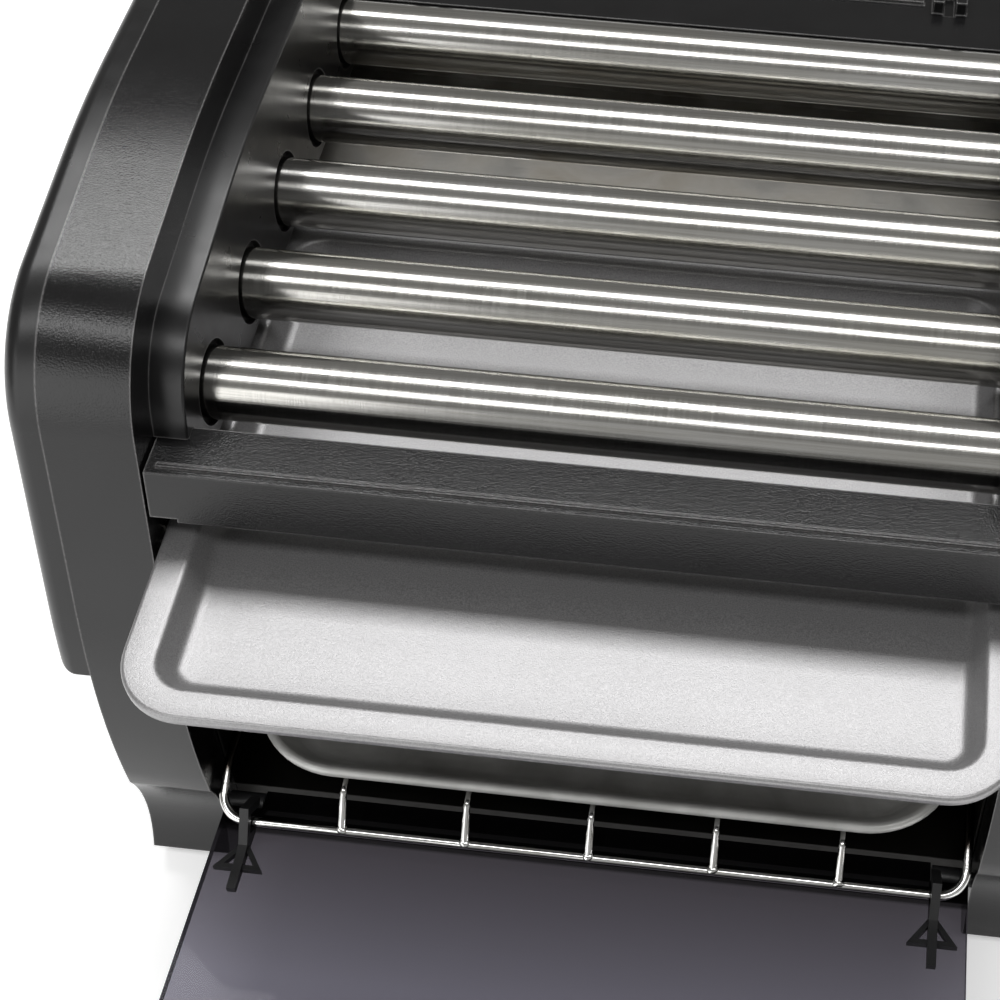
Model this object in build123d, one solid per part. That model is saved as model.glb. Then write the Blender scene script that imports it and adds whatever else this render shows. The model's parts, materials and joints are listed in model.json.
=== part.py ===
"""Countertop hot dog roller grill with a toaster oven below the rollers.

Millimetres, +X to the right, +Y to the back, +Z up. The origin is the centre of the footprint, on the
table. The object is shown in use: the oven door hangs open, the rack stands forward in it with the
baking pan, and the drip tray is pulled part of the way out.
"""

from build123d import *
from math import acos, asin, atan2, cos, degrees, pi, radians, sin, sqrt, tan
import os

# ---- driving dimensions -------------------------------------------------------------------------
BODY_WIDTH = 392.0
BODY_DEPTH = 288.0
BODY_HEIGHT = 234.0
COVER_THICKNESS = 10.7
LEFT_BAND = 27.1
OPENING_WIDTH = 253.4
SKIN = 2.8

TUBE_DIAMETER = 22.0
TUBE_WALL = 0.9
TUBE_COUNT = 5
TUBE_PITCH = 41.75
TUBE_HEIGHT = 181.0
FRONT_TUBE_Y = -77.5
ROLLER_WALL_DEPTH = 10.2
LEDGE_DROP = 13.0

FOOT_HEIGHT = 3.0
SCREW_RADIUS = 1.5
SCREW_HOLE = SCREW_RADIUS + 0.05
SCREW_LENGTH = 9.0
SCREW_HEAD_HEIGHT = 2.0
COVER_SCREW_SINK = 4.0
GLASS_THICKNESS = 4.0
DOOR_OPEN_RISE = 4.0
DOOR_CLOSED_LEAN = 4.0
TRAY_SLOPE = 2.0
GEAR_MODULE = 1.0
ROLLER_TEETH = 28
IDLER_TEETH = 22
PINION_TEETH = 17
RUNNING_GAP = 0.05

# ---- planes across the width --------------------------------------------------------------------
LEFT_OUTER = -BODY_WIDTH / 2
LEFT_SEAM = LEFT_OUTER + COVER_THICKNESS
OPEN_LEFT = LEFT_SEAM + LEFT_BAND
OPEN_RIGHT = OPEN_LEFT + OPENING_WIDTH
RIGHT_OUTER = BODY_WIDTH / 2
RIGHT_SEAM = RIGHT_OUTER - COVER_THICKNESS
OPEN_CENTRE = (OPEN_LEFT + OPEN_RIGHT) / 2
DECK_LEFT = OPEN_LEFT + ROLLER_WALL_DEPTH
DECK_RIGHT = OPEN_RIGHT - ROLLER_WALL_DEPTH

# ---- front and rear -----------------------------------------------------------------------------
FRONT_BULGE_Y = -141.5
FRONT_BULGE_Z = 58.0
FRONT_RADIUS = 260.0
FRONT_LEAN = 16.2
LEAN_START_Z = FRONT_BULGE_Z + FRONT_RADIUS * sin(radians(FRONT_LEAN))
CORNER_START_Z = 192.7
CORNER_RADIUS = 46.0
TOP_SLOPE = 8.5
TOP_SLOPE_END_Y = -40.0
REAR_RADIUS = 62.0
REAR_Y = BODY_DEPTH / 2
BEAM_TOP = TUBE_HEIGHT + 3.5
BEAM_BOTTOM = BEAM_TOP - 24.3
BEAM_FRONT_Y = FRONT_TUBE_Y - 38.7
BEAM_BACK_Y = FRONT_TUBE_Y - 19.8
FRONT_BEAM_TOP = TUBE_HEIGHT + 2.3
FRONT_BEAM_BOTTOM = FRONT_BEAM_TOP - 16.3
REAR_TUBE_Y = FRONT_TUBE_Y + TUBE_PITCH * (TUBE_COUNT - 1)
REAR_BEAM_Y = REAR_TUBE_Y + 15.0
PANEL_SHEET = 1.2
BACK_PANEL_Y = REAR_Y - 7.0
REAR_BEAM_DEPTH = BACK_PANEL_Y - REAR_BEAM_Y
TUBE_RADIUS = TUBE_DIAMETER / 2
TUBE_YS = [FRONT_TUBE_Y + TUBE_PITCH * i for i in range(TUBE_COUNT)]
BUSH_RADIUS = 14.4
FOOT_PLACES = [(x, y) for x in (-172.0, 165.0) for y in (-118.0, 118.0)]
COVER_SCREWS = [(-100.0, 100.0), (-60.0, 205.0), (100.0, 205.0), (110.0, 60.0)]
BACK_SCREWS = [(x, z) for x in (OPEN_LEFT + 8.0, OPEN_RIGHT - 8.0) for z in (20.0, 174.0)]

# ---- drip tray and heat shield, in the sloping tray plane ---------------------------------------
TRAY_WIDTH = 250.4
TRAY_LENGTH = 193.0
TRAY_CORNER = 20.5
TRAY_FLANGE = 9.1
TRAY_DEPTH = 8.0
SHEET = 0.8
TRAY_PLANE_Z = TUBE_HEIGHT - 22.1
TRAY_PULLED_OUT = 61.0

# ---- oven -----------------------------------------------------------------------------------------
HINGE_Y = -133.5
HINGE_Z = 29.0
HINGE_PIN_RADIUS = 2.5
GLASS_OFFSET = 2.2
GLASS_START = -2.5
GLASS_LENGTH = 119.5
GLASS_WIDTH = OPENING_WIDTH - 2.4
UNDER_GLASS = GLASS_OFFSET - GLASS_THICKNESS / 2
HANDLE_SPREAD = 62.0
HANDLE_Y = -GLASS_START - GLASS_LENGTH + 17.0
ELEMENT_PLACES = [(y, z) for y in (-62.0, 40.0) for z in (39.0, 130.0)]
OVEN_BACK_Y = 96.0
OVEN_TOP = 143.0
OVEN_BOTTOM = 30.0
RACK_WIDTH = 250.5
RACK_WIRE = 1.6
FLOOR_WIRE = 1.2
RACK_FRONT_Y = -146.2
RACK_FRONT_Z = 40.0
RACK_FLOOR_Z = 51.5
RACK_REAR_Y = 62.0
LEDGE_FRONT_Y = RACK_FRONT_Y + 47.0
RACK_CORNER = 9.0
FLOOR_WIRE_PITCH = 41.2
PAN_WIDTH = 232.0
PAN_LENGTH = 186.0
PAN_HEIGHT = 12.0
PAN_CORNER = 30.0
HOOK_SPREAD = 114.0
HOOK_THICKNESS = 3.0
KNUCKLE_LENGTH = 12.0
KNUCKLE_RADIUS = 3.6
RAIL_START = 4.5
RAIL_END = 8.5

# ---- drive ----------------------------------------------------------------------------------------
GEAR_START_X = OPEN_RIGHT + 5.8
GEAR_WIDTH = 8.0
IDLER_CENTRE = GEAR_MODULE * (ROLLER_TEETH + IDLER_TEETH) / 2
IDLER_DROP = sqrt(IDLER_CENTRE**2 - (TUBE_PITCH / 2) ** 2)
MESH_ANGLE = degrees(atan2(IDLER_DROP, TUBE_PITCH / 2))
IDLER_AXLE_RADIUS = 3.0
IDLER_PLACES = [(y + TUBE_PITCH / 2, TUBE_HEIGHT - IDLER_DROP) for y in TUBE_YS[:-1]]
DRIVE_PLATE_X = GEAR_START_X + GEAR_WIDTH + 4.0
DRIVE_PLATE = 2.0
POST_PLACES = [(y, z) for y in (-98.0, 104.0) for z in (150.0, 194.0)]
ROD_RADIUS = 3.2
MOTOR_RADIUS = 24.0
MOTOR_DEPTH = 20.0
MOTOR_SHAFT_RADIUS = 2.5
PINION_DROP = GEAR_MODULE * (IDLER_TEETH + PINION_TEETH) / 2
PINION_Y = TUBE_YS[1] + TUBE_PITCH / 2
PINION_Z = TUBE_HEIGHT - IDLER_DROP - PINION_DROP

# ---- controls -------------------------------------------------------------------------------------
CONTROL_X = (OPEN_RIGHT + RIGHT_SEAM) / 2
PANEL_WIDTH = 66.0
PANEL_THICKNESS = 1.6
KNOB_HEIGHTS = {"timer": 66.0, "mode": 108.0, "temperature": 150.0}
KNOB_RADIUS = 15.0
KNOB_LENGTH = 15.0
KNOB_GAP = 1.0
SHAFT_RADIUS = 3.0
SWITCH_HEIGHT = 186.0
LAMP_HEIGHT = 173.0
ROCKER_PIVOT = 1.0
ROCKER_TILT = 9.0

# ---- cord -----------------------------------------------------------------------------------------
CORD_X = 150.0
CORD_Z = 34.0
CORD_RADIUS = 3.2
CORD_END_X = -60.0
PLUG_WIDTH = 24.0
OPEN_RISE = radians(DOOR_OPEN_RISE)
DOOR_REACH = (GLASS_START + GLASS_LENGTH) * cos(OPEN_RISE) - UNDER_GLASS * sin(OPEN_RISE)
# the plug lies as far behind the origin as the open door reaches in front of it
CORD_END_Y = DOOR_REACH - HINGE_Y - PLUG_WIDTH / 2

os.makedirs("parts", exist_ok=True)


# ---- helpers --------------------------------------------------------------------------------------
def box_between(low, high):
    """A box from its lowest corner to its highest corner."""
    size = [b - a for a, b in zip(low, high)]
    centre = [(a + b) / 2 for a, b in zip(low, high)]
    return Pos(*centre) * Box(*size)


def along_x(sketch, start, end):
    """A sketch drawn in (Y, Z), extruded from one X plane to another."""
    return extrude(Plane.YZ.offset(start) * sketch, amount=end - start)


def rod_x(y, z, radius, start, end):
    """A round bar parallel to X."""
    return along_x(Pos(y, z) * Circle(radius), start, end)


def tray_frame(y=0.0):
    """The sloping plane that the drip tray slides in, through the front tube's Y."""
    return Pos(0, FRONT_TUBE_Y, TRAY_PLANE_Z) * Rot(TRAY_SLOPE, 0, 0) * Pos(0, y, 0)


def front_y(z):
    """Y of the casing's front at a height: an arc at the bottom, then a straight lean to the back."""
    arc_z = min(z, LEAN_START_Z) - FRONT_BULGE_Z
    arc_y = FRONT_BULGE_Y + FRONT_RADIUS - sqrt(FRONT_RADIUS**2 - arc_z**2)
    return arc_y + max(z - LEAN_START_Z, 0) * tan(radians(FRONT_LEAN))


def front_frame(z):
    """A place on the casing's front: local -Y points straight out of the casing."""
    lean = degrees(asin((min(z, LEAN_START_Z) - FRONT_BULGE_Z) / FRONT_RADIUS))
    return Pos(CONTROL_X, front_y(z), z) * Rot(-lean, 0, 0)


def door_frame():
    """The open door: local -Y runs along the glass away from the hinge axis."""
    return Pos(OPEN_CENTRE, HINGE_Y, HINGE_Z) * Rot(-DOOR_OPEN_RISE, 0, 0)


def save(shape, name):
    """Write one sub-part."""
    export_step(shape, f"parts/{name}.step")


# ---- casing profile -------------------------------------------------------------------------------
def casing_profile():
    """Side outline of the casing in (Y, Z): foot, waist, leaning front, round corner and flat top."""
    waist_top = (front_y(49.0), 49.0)
    waist = ThreePointArc((-BODY_DEPTH / 2, 10.0), (-138.2, 29.0), waist_top)
    belly = ThreePointArc(waist_top, (front_y(90.0), 90.0), (front_y(LEAN_START_Z), LEAN_START_Z))
    front = Line(belly @ 1, (front_y(CORNER_START_Z), CORNER_START_Z))
    turn = 90 - FRONT_LEAN - TOP_SLOPE
    corner = JernArc(front @ 1, front % 1, CORNER_RADIUS, -turn)
    slope_start = corner @ 1
    slope_rise = (TOP_SLOPE_END_Y - slope_start.X) * tan(radians(TOP_SLOPE))
    slope = Line(slope_start, (TOP_SLOPE_END_Y, slope_start.Y + slope_rise))
    crown_radius = (BODY_HEIGHT - (slope @ 1).Y) / (1 - cos(radians(TOP_SLOPE)))
    crown = JernArc(slope @ 1, slope % 1, crown_radius, -TOP_SLOPE)
    flat = Line(crown @ 1, (REAR_Y - REAR_RADIUS, BODY_HEIGHT))
    rear = RadiusArc(flat @ 1, (REAR_Y, BODY_HEIGHT - REAR_RADIUS), REAR_RADIUS)
    foot = Polyline(
        rear @ 1,
        (REAR_Y, 9.0),
        (REAR_Y - 4.0, FOOT_HEIGHT),
        (-BODY_DEPTH / 2 + 4.0, FOOT_HEIGHT),
        (-BODY_DEPTH / 2, 10.0),
    )
    return make_face(waist + belly + front + corner + slope + crown + flat + rear + foot)


PROFILE = casing_profile()
INNER_PROFILE = offset(PROFILE, amount=-SKIN, kind=Kind.INTERSECTION)


def cover_outline(inset):
    """Outline of a side cover: the casing profile, cut off by a slanting lower edge."""
    front_end = 118.0
    keep = Polygon(
        (-200, front_end),
        (-128, front_end - 14),
        (-112, front_end - 50),
        (160, front_end - 77),
        (160, 260),
        (-200, 260),
        align=None,
    )
    return offset(PROFILE & keep, amount=-inset, kind=Kind.INTERSECTION)


def casing(seam, inner):
    """A hollow end casing: outer wall on the seam side, inner wall towards the oven."""
    step = SKIN if inner > seam else -SKIN
    shell = along_x(PROFILE, seam, inner) - along_x(INNER_PROFILE, seam + step, inner - step)
    access = offset(cover_outline(0), amount=-16, kind=Kind.INTERSECTION)
    shell -= along_x(access, seam - step, seam + step * 1.5)
    for y, z in COVER_SCREWS:
        shell += rod_x(y, z, 4.5, seam + step, inner - step)
    for y, z in COVER_SCREWS:
        shell -= rod_x(y, z, SCREW_HOLE, seam - step, seam + step * 4)
    for x, y in FOOT_PLACES:
        shell -= Pos(x, y, FOOT_HEIGHT) * Cylinder(4.0, 4 * SKIN)
    for y, z in [(y, TUBE_HEIGHT) for y in TUBE_YS] + ELEMENT_PLACES:
        shell -= rod_x(y, z, ROD_RADIUS + RUNNING_GAP, inner - 2 * step, inner + step)
    pin_gap = HINGE_PIN_RADIUS + RUNNING_GAP
    shell -= rod_x(HINGE_Y, HINGE_Z, pin_gap, inner - 1.4 * step, inner + step)
    return shell


def left_casing():
    """Left end casing, the broad grained band."""
    return casing(LEFT_SEAM, OPEN_LEFT)


def right_casing():
    """Right end casing, which holds the drive and the controls."""
    shell = casing(RIGHT_SEAM, OPEN_RIGHT)
    for y in TUBE_YS:
        shell -= rod_x(y, TUBE_HEIGHT, TUBE_RADIUS + 1.0, OPEN_RIGHT - 1, OPEN_RIGHT + 2 * SKIN)
    for y, z in IDLER_PLACES:
        shell -= rod_x(y, z, IDLER_AXLE_RADIUS, OPEN_RIGHT - 1, OPEN_RIGHT + 2 * SKIN)
    for z in KNOB_HEIGHTS.values():
        shell -= front_frame(z) * Rot(90, 0, 0) * Cylinder(SHAFT_RADIUS + 1.0, 30)
    shell -= front_frame(SWITCH_HEIGHT) * Box(20, 30, 12)
    shell -= front_frame(LAMP_HEIGHT) * Rot(90, 0, 0) * Cylinder(2.6, 30)
    shell -= Pos(CORD_X, REAR_Y, CORD_Z) * Rot(90, 0, 0) * Cylinder(6.0, 20)
    return shell


def side_cover(seam, outer):
    """Glossy dished side cover with cooling slots, rounded along its outer edge."""
    out = 1 if outer > seam else -1
    body = along_x(cover_outline(0.3), seam, outer)
    rim = body.faces().sort_by(Axis.X)[-1 if out > 0 else 0].edges()
    body = fillet(rim, 6.0)
    hollow = offset(cover_outline(0.3), amount=-7, kind=Kind.INTERSECTION)
    body -= along_x(hollow, seam, outer - out * 3.0)
    for row in range(7):
        slot = Pos(40.0, 88.0 + 9.0 * row) * SlotOverall(70, 4)
        body -= along_x(slot, outer - out * 6, outer + out)
    for y, z in COVER_SCREWS:
        body += rod_x(y, z, 6.5, seam, outer - out * 2.0)
        body -= rod_x(y, z, SCREW_HOLE, seam - out, outer + out)
        body -= rod_x(y, z, 4.2, outer - out * COVER_SCREW_SINK, outer + out)
    return body


def pan_screw():
    """Pan head screw standing head up, the underside of its head at the origin."""
    head = Pos(0, 0, SCREW_HEAD_HEIGHT / 2) * Cylinder(3.0, SCREW_HEAD_HEIGHT)
    head = fillet(head.edges().sort_by(Axis.Z)[-1], 0.6)
    shank = Pos(0, 0, -SCREW_LENGTH / 2) * Cylinder(SCREW_RADIUS, SCREW_LENGTH)
    cross = Pos(0, 0, SCREW_HEAD_HEIGHT) * (Box(3.8, 0.8, 1.6) + Box(0.8, 3.8, 1.6))
    return head + shank - cross


def pan_head_screws():
    """Identical screws in the side covers, the back panel and the gear motor."""
    group = []
    for y, z in COVER_SCREWS:
        group.append(Pos(LEFT_OUTER + COVER_SCREW_SINK, y, z) * Rot(0, -90, 0) * pan_screw())
        group.append(Pos(RIGHT_OUTER - COVER_SCREW_SINK, y, z) * Rot(0, 90, 0) * pan_screw())
    for x, z in BACK_SCREWS:
        group.append(Pos(x, BACK_PANEL_Y + PANEL_SHEET, z) * Rot(-90, 0, 0) * pan_screw())
    for y, z in motor_screw_places():
        group.append(Pos(DRIVE_PLATE_X + DRIVE_PLATE + 2.0, y, z) * Rot(0, 90, 0) * pan_screw())
    return Compound(children=group)


def feet():
    """Rubber feet with stems through the casing floors."""
    pads = []
    for x, y in FOOT_PLACES:
        pad = Pos(x, y, FOOT_HEIGHT / 2) * Cylinder(8.0, FOOT_HEIGHT)
        stem = Pos(x, y, FOOT_HEIGHT + 3.0) * Cylinder(4.0, 6.0)
        button = Pos(x, y, FOOT_HEIGHT + SKIN + 1.7) * Cylinder(5.2, 3.0)
        pads.append(pad + stem + button)
    return Compound(children=pads)


# ---- roller deck ----------------------------------------------------------------------------------
def wall_outline():
    """Outline of a roller wall in (Y, Z): it runs parallel to the casing's top, lower down."""
    bottom = 165.6
    front_end = BEAM_BACK_Y + 0.4
    rear_end = REAR_BEAM_Y - 0.4
    crest_z = BODY_HEIGHT - LEDGE_DROP
    upper_casing = PROFILE & Pos(0, 180) * Rectangle(400, 120)
    parallel = offset(upper_casing, amount=-LEDGE_DROP, kind=Kind.INTERSECTION)
    keep = Polygon(
        (-130, FRONT_BEAM_TOP + 0.1),
        (front_end, FRONT_BEAM_TOP + 0.1),
        (front_end, bottom),
        (rear_end, bottom),
        (rear_end, crest_z - 22.0),
        (REAR_TUBE_Y - 14.0, crest_z),
        (REAR_TUBE_Y - 14.0, 240),
        (-130, 240),
        align=None,
    )
    return parallel & keep


def roller_wall(face_x, back_x):
    """Glossy inner wall with a ledge on top and a round hole for each tube."""
    inward = 1 if face_x > back_x else -1
    plate = 2.4
    outline = wall_outline()
    wall = along_x(outline, back_x, face_x)
    rim = wall.faces().sort_by(Axis.X)[-1 if inward > 0 else 0].edges().filter_by_position(
        Axis.Z, BEAM_TOP - 1, 240, inclusive=(False, False)
    )
    wall = fillet(rim, 0.8)
    hollow = offset(outline, amount=-2.4, kind=Kind.INTERSECTION)
    wall -= along_x(hollow, back_x, face_x - inward * plate)
    for y in TUBE_YS:
        ring = Pos(y, TUBE_HEIGHT) * (Circle(BUSH_RADIUS + 2.0) - Circle(BUSH_RADIUS))
        wall += along_x(ring & outline, back_x + inward * 0.4, face_x - inward * plate)
        wall -= rod_x(y, TUBE_HEIGHT, BUSH_RADIUS, back_x, face_x - inward * plate)
        wall -= rod_x(y, TUBE_HEIGHT, TUBE_RADIUS + 2.0, back_x, face_x + inward)
    return wall


def roller_bushes():
    """Heat-proof bushes that carry both ends of each tube."""
    group = []
    for back_x, inward in ((OPEN_LEFT, 1), (OPEN_RIGHT, -1)):
        for y in TUBE_YS:
            start = back_x + inward * 0.3
            end = back_x + inward * (ROLLER_WALL_DEPTH - 2.6)
            ring = rod_x(y, TUBE_HEIGHT, BUSH_RADIUS - 0.05, start, end)
            group.append(ring - rod_x(y, TUBE_HEIGHT, TUBE_RADIUS + RUNNING_GAP, start, end))
    return Compound(children=group)


def roller_tube(y):
    """One polished stainless tube."""
    start = OPEN_LEFT + 0.8
    end = GEAR_START_X + GEAR_WIDTH + 1.0
    tube = rod_x(y, TUBE_HEIGHT, TUBE_RADIUS, start, end)
    return tube - rod_x(y, TUBE_HEIGHT, TUBE_RADIUS - TUBE_WALL, start, end)


def heating_rods():
    """A straight sheathed heating rod through each tube, which doesn't turn."""
    start = OPEN_LEFT - 12.0
    end = DRIVE_PLATE_X + 9.0
    rods = [rod_x(y, TUBE_HEIGHT, ROD_RADIUS, start, end) for y in TUBE_YS]
    return Compound(children=rods)


def front_beam():
    """Hollow beam in front of the rollers: its face lies flush between the two casings."""
    wall = 2.4
    recess = 0.4
    end_gap = 0.8
    start = OPEN_LEFT + end_gap
    end = OPEN_RIGHT - end_gap
    face_top = front_y(FRONT_BEAM_TOP) + recess
    face_bottom = front_y(FRONT_BEAM_BOTTOM) + recess

    def section(inset, drop):
        """The beam's section, thinner by a wall, with its bottom lowered."""
        return Polygon(
            (face_bottom + inset, FRONT_BEAM_BOTTOM - drop),
            (BEAM_BACK_Y - inset, FRONT_BEAM_BOTTOM - drop),
            (BEAM_BACK_Y - inset, FRONT_BEAM_TOP - inset),
            (face_top + inset, FRONT_BEAM_TOP - inset),
            align=None,
        )

    beam = along_x(section(0.0, 0.0), start, end)
    face_edges = beam.edges().filter_by(Axis.X).filter_by_position(Axis.Y, -200, face_top + 0.1)
    beam = fillet(face_edges, 0.5)
    beam -= along_x(section(wall, 1.0), start + wall, end - wall)
    for low_x, high_x in ((start - 1, start + 8.0), (end - 8.0, end + 1)):
        low = (low_x, face_bottom - 1, FRONT_BEAM_BOTTOM - 1)
        beam -= box_between(low, (high_x, face_bottom + wall + 1, FRONT_BEAM_BOTTOM + 1.6))
    ridge_y = face_top + 2.2
    top = FRONT_BEAM_TOP
    ridge = box_between((start + 3.0, ridge_y, top - 0.5), (end - 3.0, ridge_y + 1.2, top + 0.9))
    groove = box_between((start + 3.0, ridge_y + 1.2, top - 0.6), (end - 3.0, ridge_y + 2.0, top + 1))
    return beam + ridge - groove


def rear_beam():
    """Hollow beam behind the rollers, with the two sockets that a lid's hinge would drop into."""
    wall = 2.4
    back_y = REAR_BEAM_Y + REAR_BEAM_DEPTH
    beam = box_between((OPEN_LEFT, REAR_BEAM_Y, BEAM_BOTTOM), (OPEN_RIGHT, back_y, BEAM_TOP))
    beam -= box_between(
        (OPEN_LEFT + wall, REAR_BEAM_Y + wall, BEAM_BOTTOM - 1),
        (OPEN_RIGHT - wall, back_y - wall, BEAM_TOP - wall),
    )
    socket_offset = 93.0
    ridge_y = REAR_BEAM_Y + 22.0
    for side in (-1, 1):
        socket_x = OPEN_CENTRE + side * socket_offset
        block = box_between(
            (socket_x - 6, ridge_y - 4, BEAM_TOP - 1), (socket_x + 6, ridge_y + 6, BEAM_TOP + 5)
        )
        beam += block
        beam -= Pos(socket_x, ridge_y + 1, BEAM_TOP + 2) * Box(4, 12, 8)
    ridge = box_between(
        (OPEN_CENTRE - socket_offset + 9, ridge_y, BEAM_TOP - 0.5),
        (OPEN_CENTRE + socket_offset - 9, ridge_y + 1.4, BEAM_TOP + 1.4),
    )
    return drill_back_screws(beam + ridge)


# ---- drip tray, heat shield -------------------------------------------------------------------------
def tray_plan(grow):
    """The drip tray's plan outline, grown or shrunk, centred on the opening."""
    radius = max(TRAY_CORNER + grow, 2.0)
    return RectangleRounded(TRAY_WIDTH + 2 * grow, TRAY_LENGTH + 2 * grow, radius)


def drip_tray():
    """Shallow pressed tray with a flat flange and a thin turned-down lip."""
    middle = BEAM_FRONT_Y - FRONT_TUBE_Y - TRAY_PULLED_OUT + TRAY_LENGTH / 2
    well = extrude(tray_plan(-TRAY_FLANGE), amount=-TRAY_DEPTH, taper=12)
    outer = extrude(tray_plan(-TRAY_FLANGE + SHEET), amount=-TRAY_DEPTH - SHEET, taper=12)
    floor_edges = outer.faces().sort_by(Axis.Z)[0].edges()
    outer = fillet(floor_edges, 2.4)
    well_edges = well.faces().sort_by(Axis.Z)[0].edges()
    well = fillet(well_edges, 2.0)
    flange = Pos(0, 0, -SHEET) * extrude(tray_plan(0) - tray_plan(-TRAY_FLANGE), amount=SHEET)
    lip = Pos(0, 0, -3.0) * extrude(tray_plan(0) - tray_plan(-SHEET), amount=3.0)
    tray = outer + flange + lip - well
    return tray_frame(middle) * Pos(OPEN_CENTRE, 0, 0) * tray


def heat_shield():
    """Sheet below the drip tray: its turned-in edges are the rails that the tray slides on."""
    front = BEAM_FRONT_Y - FRONT_TUBE_Y + 4.0
    back = REAR_BEAM_Y - FRONT_TUBE_Y - 1.0
    middle = (front + back) / 2
    length = back - front
    half = OPENING_WIDTH / 2 - 0.2
    drop = TRAY_DEPTH + SHEET + 2.6
    rail_top = -SHEET - 2.5
    floor = Pos(0, middle, -drop - SHEET / 2) * Box(2 * half, length, SHEET)
    shield = floor
    for side in (-1, 1):
        wall_height = drop + rail_top + SHEET
        wall_z = rail_top - wall_height / 2
        shield += Pos(side * (half - SHEET / 2), middle, wall_z) * Box(SHEET, length, wall_height)
        shield += Pos(side * (half - 3.0), middle, rail_top - SHEET / 2) * Box(6.0, length, SHEET)
    back_wall = Pos(0, back - SHEET / 2, -drop / 2) * Box(2 * half, SHEET, drop)
    return tray_frame() * Pos(OPEN_CENTRE, 0, 0) * (shield + back_wall)


# ---- oven -------------------------------------------------------------------------------------------
def closed_glass_y(z, inward):
    """Y of a plane parallel to the closed glass, a distance inside the hinge axis."""
    return HINGE_Y + inward + (z - HINGE_Z) * tan(radians(DOOR_CLOSED_LEAN))


def oven_liner():
    """Sheet box, open at the front, with a ledge on each side that the rack slides on."""
    mouth = GLASS_OFFSET + GLASS_THICKNESS / 2 + 1.2
    outline = Polygon(
        (closed_glass_y(OVEN_BOTTOM + 6, mouth), OVEN_BOTTOM),
        (OVEN_BACK_Y, OVEN_BOTTOM),
        (OVEN_BACK_Y, OVEN_TOP),
        (closed_glass_y(OVEN_TOP, mouth), OVEN_TOP),
        align=None,
    )
    start = OPEN_LEFT + 0.2
    end = OPEN_RIGHT - 0.2
    liner = along_x(outline, start, end)
    hollow = Polygon(
        (-200, OVEN_BOTTOM + SHEET),
        (OVEN_BACK_Y - SHEET, OVEN_BOTTOM + SHEET),
        (OVEN_BACK_Y - SHEET, OVEN_TOP - SHEET),
        (-200, OVEN_TOP - SHEET),
        align=None,
    )
    liner -= along_x(hollow, start + SHEET, end - SHEET)
    rail_top = RACK_FLOOR_Z - FLOOR_WIRE - 2 * RACK_WIRE - 0.3
    for side in (-1, 1):
        wall_x = OPEN_CENTRE + side * (OPENING_WIDTH / 2 - 0.2 - SHEET)
        inner_x = wall_x - side * 4.5
        low_x, high_x = sorted((wall_x, inner_x))
        low = (low_x, LEDGE_FRONT_Y, rail_top - SHEET)
        liner += box_between(low, (high_x, OVEN_BACK_Y - 1, rail_top))
    for x in (start, end):
        for y, z in ELEMENT_PLACES:
            liner -= rod_x(y, z, 4.2, x - 3, x + 3)
    return liner


def oven_elements():
    """Four sheathed oven elements, two above the food and two below it."""
    start = OPEN_LEFT - 8.0
    end = OPEN_RIGHT + 8.0
    rods = [rod_x(y, z, ROD_RADIUS, start, end) for y, z in ELEMENT_PLACES]
    return Compound(children=rods)


def element_insulators():
    """Ceramic sleeves where the oven elements pass through the liner."""
    group = []
    for x, inward in ((OPEN_LEFT, 1), (OPEN_RIGHT, -1)):
        for y, z in ELEMENT_PLACES:
            collar = rod_x(y, z, 6.0, x + inward * (0.2 + SHEET), x + inward * 5.0)
            neck = rod_x(y, z, 4.1, x + inward * 0.1, x + inward * 1.2)
            bore = rod_x(y, z, ROD_RADIUS + RUNNING_GAP, x - inward, x + inward * 6.0)
            group.append(collar + neck - bore)
    return Compound(children=group)


def wire(points, bend, radius):
    """A round wire bent through points."""
    path = FilletPolyline(*points, radius=bend)
    section = Plane(origin=path @ 0, z_dir=path % 0) * Circle(radius)
    return sweep(section, path=path)


def wire_rack():
    """Welded wire rack: dropped front bar, side wires and five long floor wires."""
    half = RACK_WIDTH / 2 - RACK_WIRE
    side_z = RACK_FLOOR_Z - FLOOR_WIRE - RACK_WIRE
    rack = None
    for side in (-1, 1):
        edge = wire(
            [
                (OPEN_CENTRE, RACK_FRONT_Y, RACK_FRONT_Z),
                (OPEN_CENTRE + side * half, RACK_FRONT_Y, RACK_FRONT_Z),
                (OPEN_CENTRE + side * half, RACK_FRONT_Y + 17.0, side_z),
                (OPEN_CENTRE + side * half, RACK_REAR_Y, side_z),
                (OPEN_CENTRE, RACK_REAR_Y, side_z),
            ],
            RACK_CORNER,
            RACK_WIRE,
        )
        rack = edge if rack is None else rack + edge
    for index in range(5):
        x = OPEN_CENTRE + (index - 2) * FLOOR_WIRE_PITCH
        rack += wire(
            [
                (x, RACK_REAR_Y, RACK_FLOOR_Z),
                (x, RACK_FRONT_Y + 9.0, RACK_FLOOR_Z),
                (x, RACK_FRONT_Y - 0.6, RACK_FRONT_Z + 0.4),
            ],
            4.0,
            FLOOR_WIRE,
        )
    for y in (-85.0, 0.0):
        rack += rod_x(y, side_z, RACK_WIRE, OPEN_CENTRE - half, OPEN_CENTRE + half)
    return rack


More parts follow.
